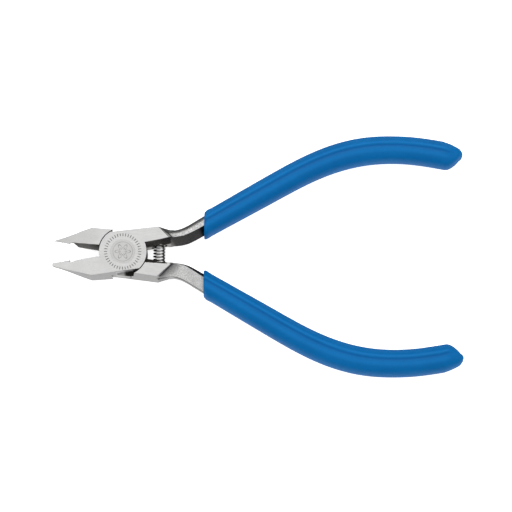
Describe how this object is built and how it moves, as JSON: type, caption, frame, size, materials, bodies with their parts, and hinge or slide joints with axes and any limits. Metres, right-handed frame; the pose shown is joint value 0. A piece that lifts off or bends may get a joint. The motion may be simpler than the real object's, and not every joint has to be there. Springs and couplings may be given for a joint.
{
  "type": "diagonal cutting pliers",
  "caption": "Miniature diagonal cutting pliers: two lapped steel halves on a flush rivet, serrated gripping tips ahead of short blades, a coil return spring and bowed sleeve grips.",
  "frame": {"origin": "where the pivot axis meets the flat back face of the joint", "axes": "+X from the jaws towards the handles, +Y towards the front half's handle, +Z along the pivot axis and out of the front face"},
  "size_m": [0.1099, 0.0656, 0.0084],
  "materials": {
    "forged_steel": "ground and fine-blasted steel, brushed across the broad faces",
    "rivet_steel": "ground flush",
    "spring_steel": "drawn wire, bright",
    "blue_vinyl": "soft satin vinyl sleeve"
  },
  "bodies": {
    "front": {"front_half": "forged_steel", "pivot_rivet": "rivet_steel", "upper_grip": "blue_vinyl", "upper_spring_pin": "rivet_steel"},
    "back": {"back_half": "forged_steel", "lower_grip": "blue_vinyl", "lower_spring_pin": "rivet_steel"},
    "spring": {"return_spring": "spring_steel"}
  },
  "joints": [
    {"name": "pivot", "type": "hinge", "parent": "front", "child": "back", "pos_m": [0, 0, 0.00375], "axis": [0, 0, 1], "range_deg": [0, 17.8], "stiffness_Nm_per_rad": 0.02, "springref_deg": -5.73, "deforming": ["return_spring"]},
    {"name": "spring_follow", "type": "hinge", "parent": "front", "child": "spring", "pos_m": [0, 0, 0.00375], "axis": [0, 0, 1], "range_deg": [0, 9]}
  ],
  "couplings": [
    {"joint": "spring_follow", "follows": "pivot", "ratio": 0.5}
  ]
}
